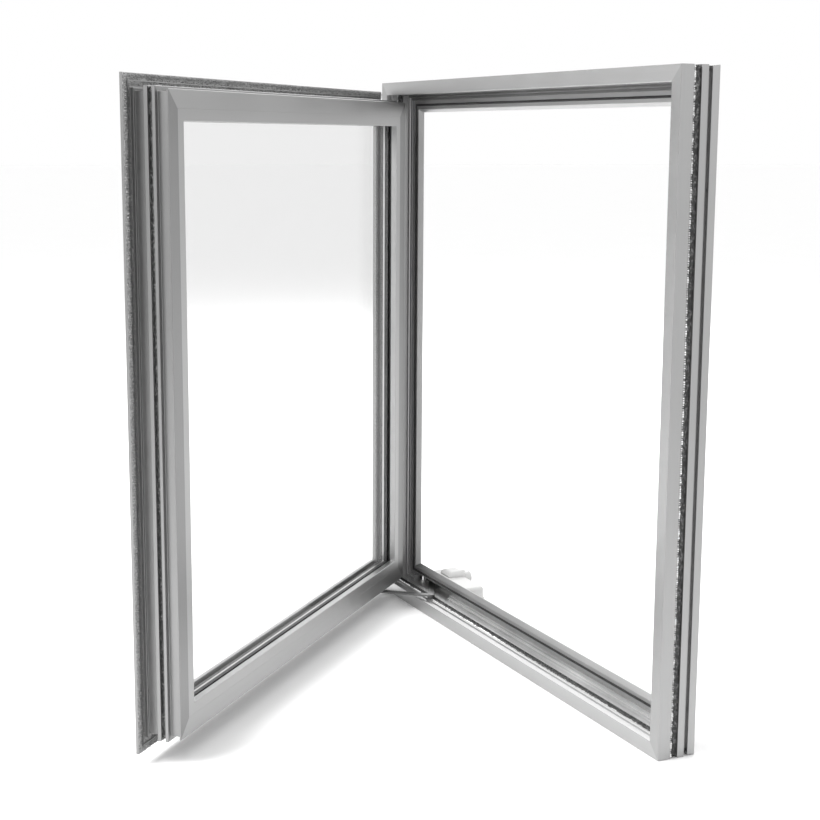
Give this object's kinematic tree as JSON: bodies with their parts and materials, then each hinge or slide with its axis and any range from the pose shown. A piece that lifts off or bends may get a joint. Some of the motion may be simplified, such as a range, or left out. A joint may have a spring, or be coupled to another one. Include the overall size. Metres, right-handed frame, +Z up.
{
  "type": "casement window",
  "caption": "Square aluminium casement window, double glazed, hinged on the left and cranked open to the weather side.",
  "frame": {"origin": "middle of the sill's underside, in the plane of the frame's outer face", "axes": "+X along the sill towards the lock side, +Y from the weather side into the room, +Z up"},
  "size_m": [0.9144, 0.7905, 0.9144],
  "materials": {
    "block_plastic": "hard plastic",
    "bronze": "plain bearing bronze",
    "butyl_sealant": "matt black",
    "clear_glass": "clear float",
    "epdm_rubber": "matt black",
    "hinge_aluminium": "satin",
    "mill_aluminium": "satin, brushed along each bar",
    "pale_painted_zinc": "pale grey powder coat",
    "pile_seal": "dark woven pile",
    "plain_aluminium": "plain mill finish",
    "polyamide": "glass-filled, matt black",
    "stainless_steel": "stainless",
    "white_nylon": "white nylon"
  },
  "bodies": {
    "frame": {"arm_pivot_pin": "stainless_steel", "cover_screws": "stainless_steel", "frame_corner_keys": "plain_aluminium", "frame_head_inner": "mill_aluminium", "frame_head_outer": "mill_aluminium", "frame_jamb_left_inner": "mill_aluminium", "frame_jamb_left_outer": "mill_aluminium", "frame_jamb_right_inner": "mill_aluminium", "frame_jamb_right_outer": "mill_aluminium", "frame_seal": "epdm_rubber", "frame_sill_inner": "mill_aluminium", "frame_sill_outer": "mill_aluminium", "frame_thermal_bars": "polyamide", "hinge_frame_leaves": "hinge_aluminium", "hinge_frame_screws": "stainless_steel", "hinge_pins": "stainless_steel", "hinge_washers": "white_nylon", "operator_base": "pale_painted_zinc", "operator_cover": "pale_painted_zinc", "operator_screws": "stainless_steel", "spindle_bush": "bronze", "stop_head": "mill_aluminium", "stop_jamb_left": "mill_aluminium", "stop_jamb_right": "mill_aluminium", "stop_sill": "mill_aluminium"},
    "sash": {"bracket_screws": "stainless_steel", "glass_edge_seal": "butyl_sealant", "glass_inner_pane": "clear_glass", "glass_outer_pane": "clear_glass", "glass_setting_blocks": "block_plastic", "glass_spacer": "plain_aluminium", "glazing_beads": "mill_aluminium", "glazing_gasket_inner": "epdm_rubber", "glazing_gasket_outer": "epdm_rubber", "hinge_sash_leaves": "hinge_aluminium", "hinge_sash_screws": "stainless_steel", "sash_bottom_rail_inner": "mill_aluminium", "sash_bottom_rail_outer": "mill_aluminium", "sash_bracket": "stainless_steel", "sash_corner_keys": "plain_aluminium", "sash_hinge_stile_inner": "mill_aluminium", "sash_hinge_stile_outer": "mill_aluminium", "sash_lock_stile_inner": "mill_aluminium", "sash_lock_stile_outer": "mill_aluminium", "sash_pile_seal": "pile_seal", "sash_thermal_bars": "polyamide", "sash_top_rail_inner": "mill_aluminium", "sash_top_rail_outer": "mill_aluminium"},
    "arm": {"drive_arm": "stainless_steel", "drive_gear": "stainless_steel", "elbow_rivet": "stainless_steel"},
    "link": {"link_arm": "stainless_steel"},
    "crank": {"worm_shaft": "stainless_steel", "crank_lever": "pale_painted_zinc", "crank_set_screw": "stainless_steel", "knob_pin": "stainless_steel"},
    "knob": {"crank_knob": "pale_painted_zinc"}
  },
  "joints": [
    {"name": "sash_hinge", "type": "hinge", "parent": "frame", "child": "sash", "pos_m": [-0.4471, -0.0132, 0.4425], "axis": [0, 0, -1], "range_deg": [-45, 45]},
    {"name": "operator_arm", "type": "hinge", "parent": "frame", "child": "arm", "pos_m": [-0.38, 0.069, 0.0238], "axis": [0, 0, -1], "range_deg": [-45, 45]},
    {"name": "link_elbow", "type": "hinge", "parent": "arm", "child": "link", "pos_m": [-0.28461, 0.01957, 0.0269], "axis": [0, 0, -1], "range_deg": [-45, 45]},
    {"name": "crank_spindle", "type": "hinge", "parent": "frame", "child": "crank", "pos_m": [-0.3532, 0.1, 0.0306], "axis": [0, -1, 0], "range_deg": [-1800, 1800]},
    {"name": "knob_spin", "type": "hinge", "parent": "crank", "child": "knob", "pos_m": [-0.40993, 0.14, 0.01854], "axis": [0, -1, 0], "continuous": true}
  ],
  "couplings": [
    {"joint": "operator_arm", "follows": "sash_hinge", "ratio": 1},
    {"joint": "link_elbow", "follows": "sash_hinge", "ratio": -1},
    {"joint": "crank_spindle", "follows": "sash_hinge", "ratio": 40}
  ]
}
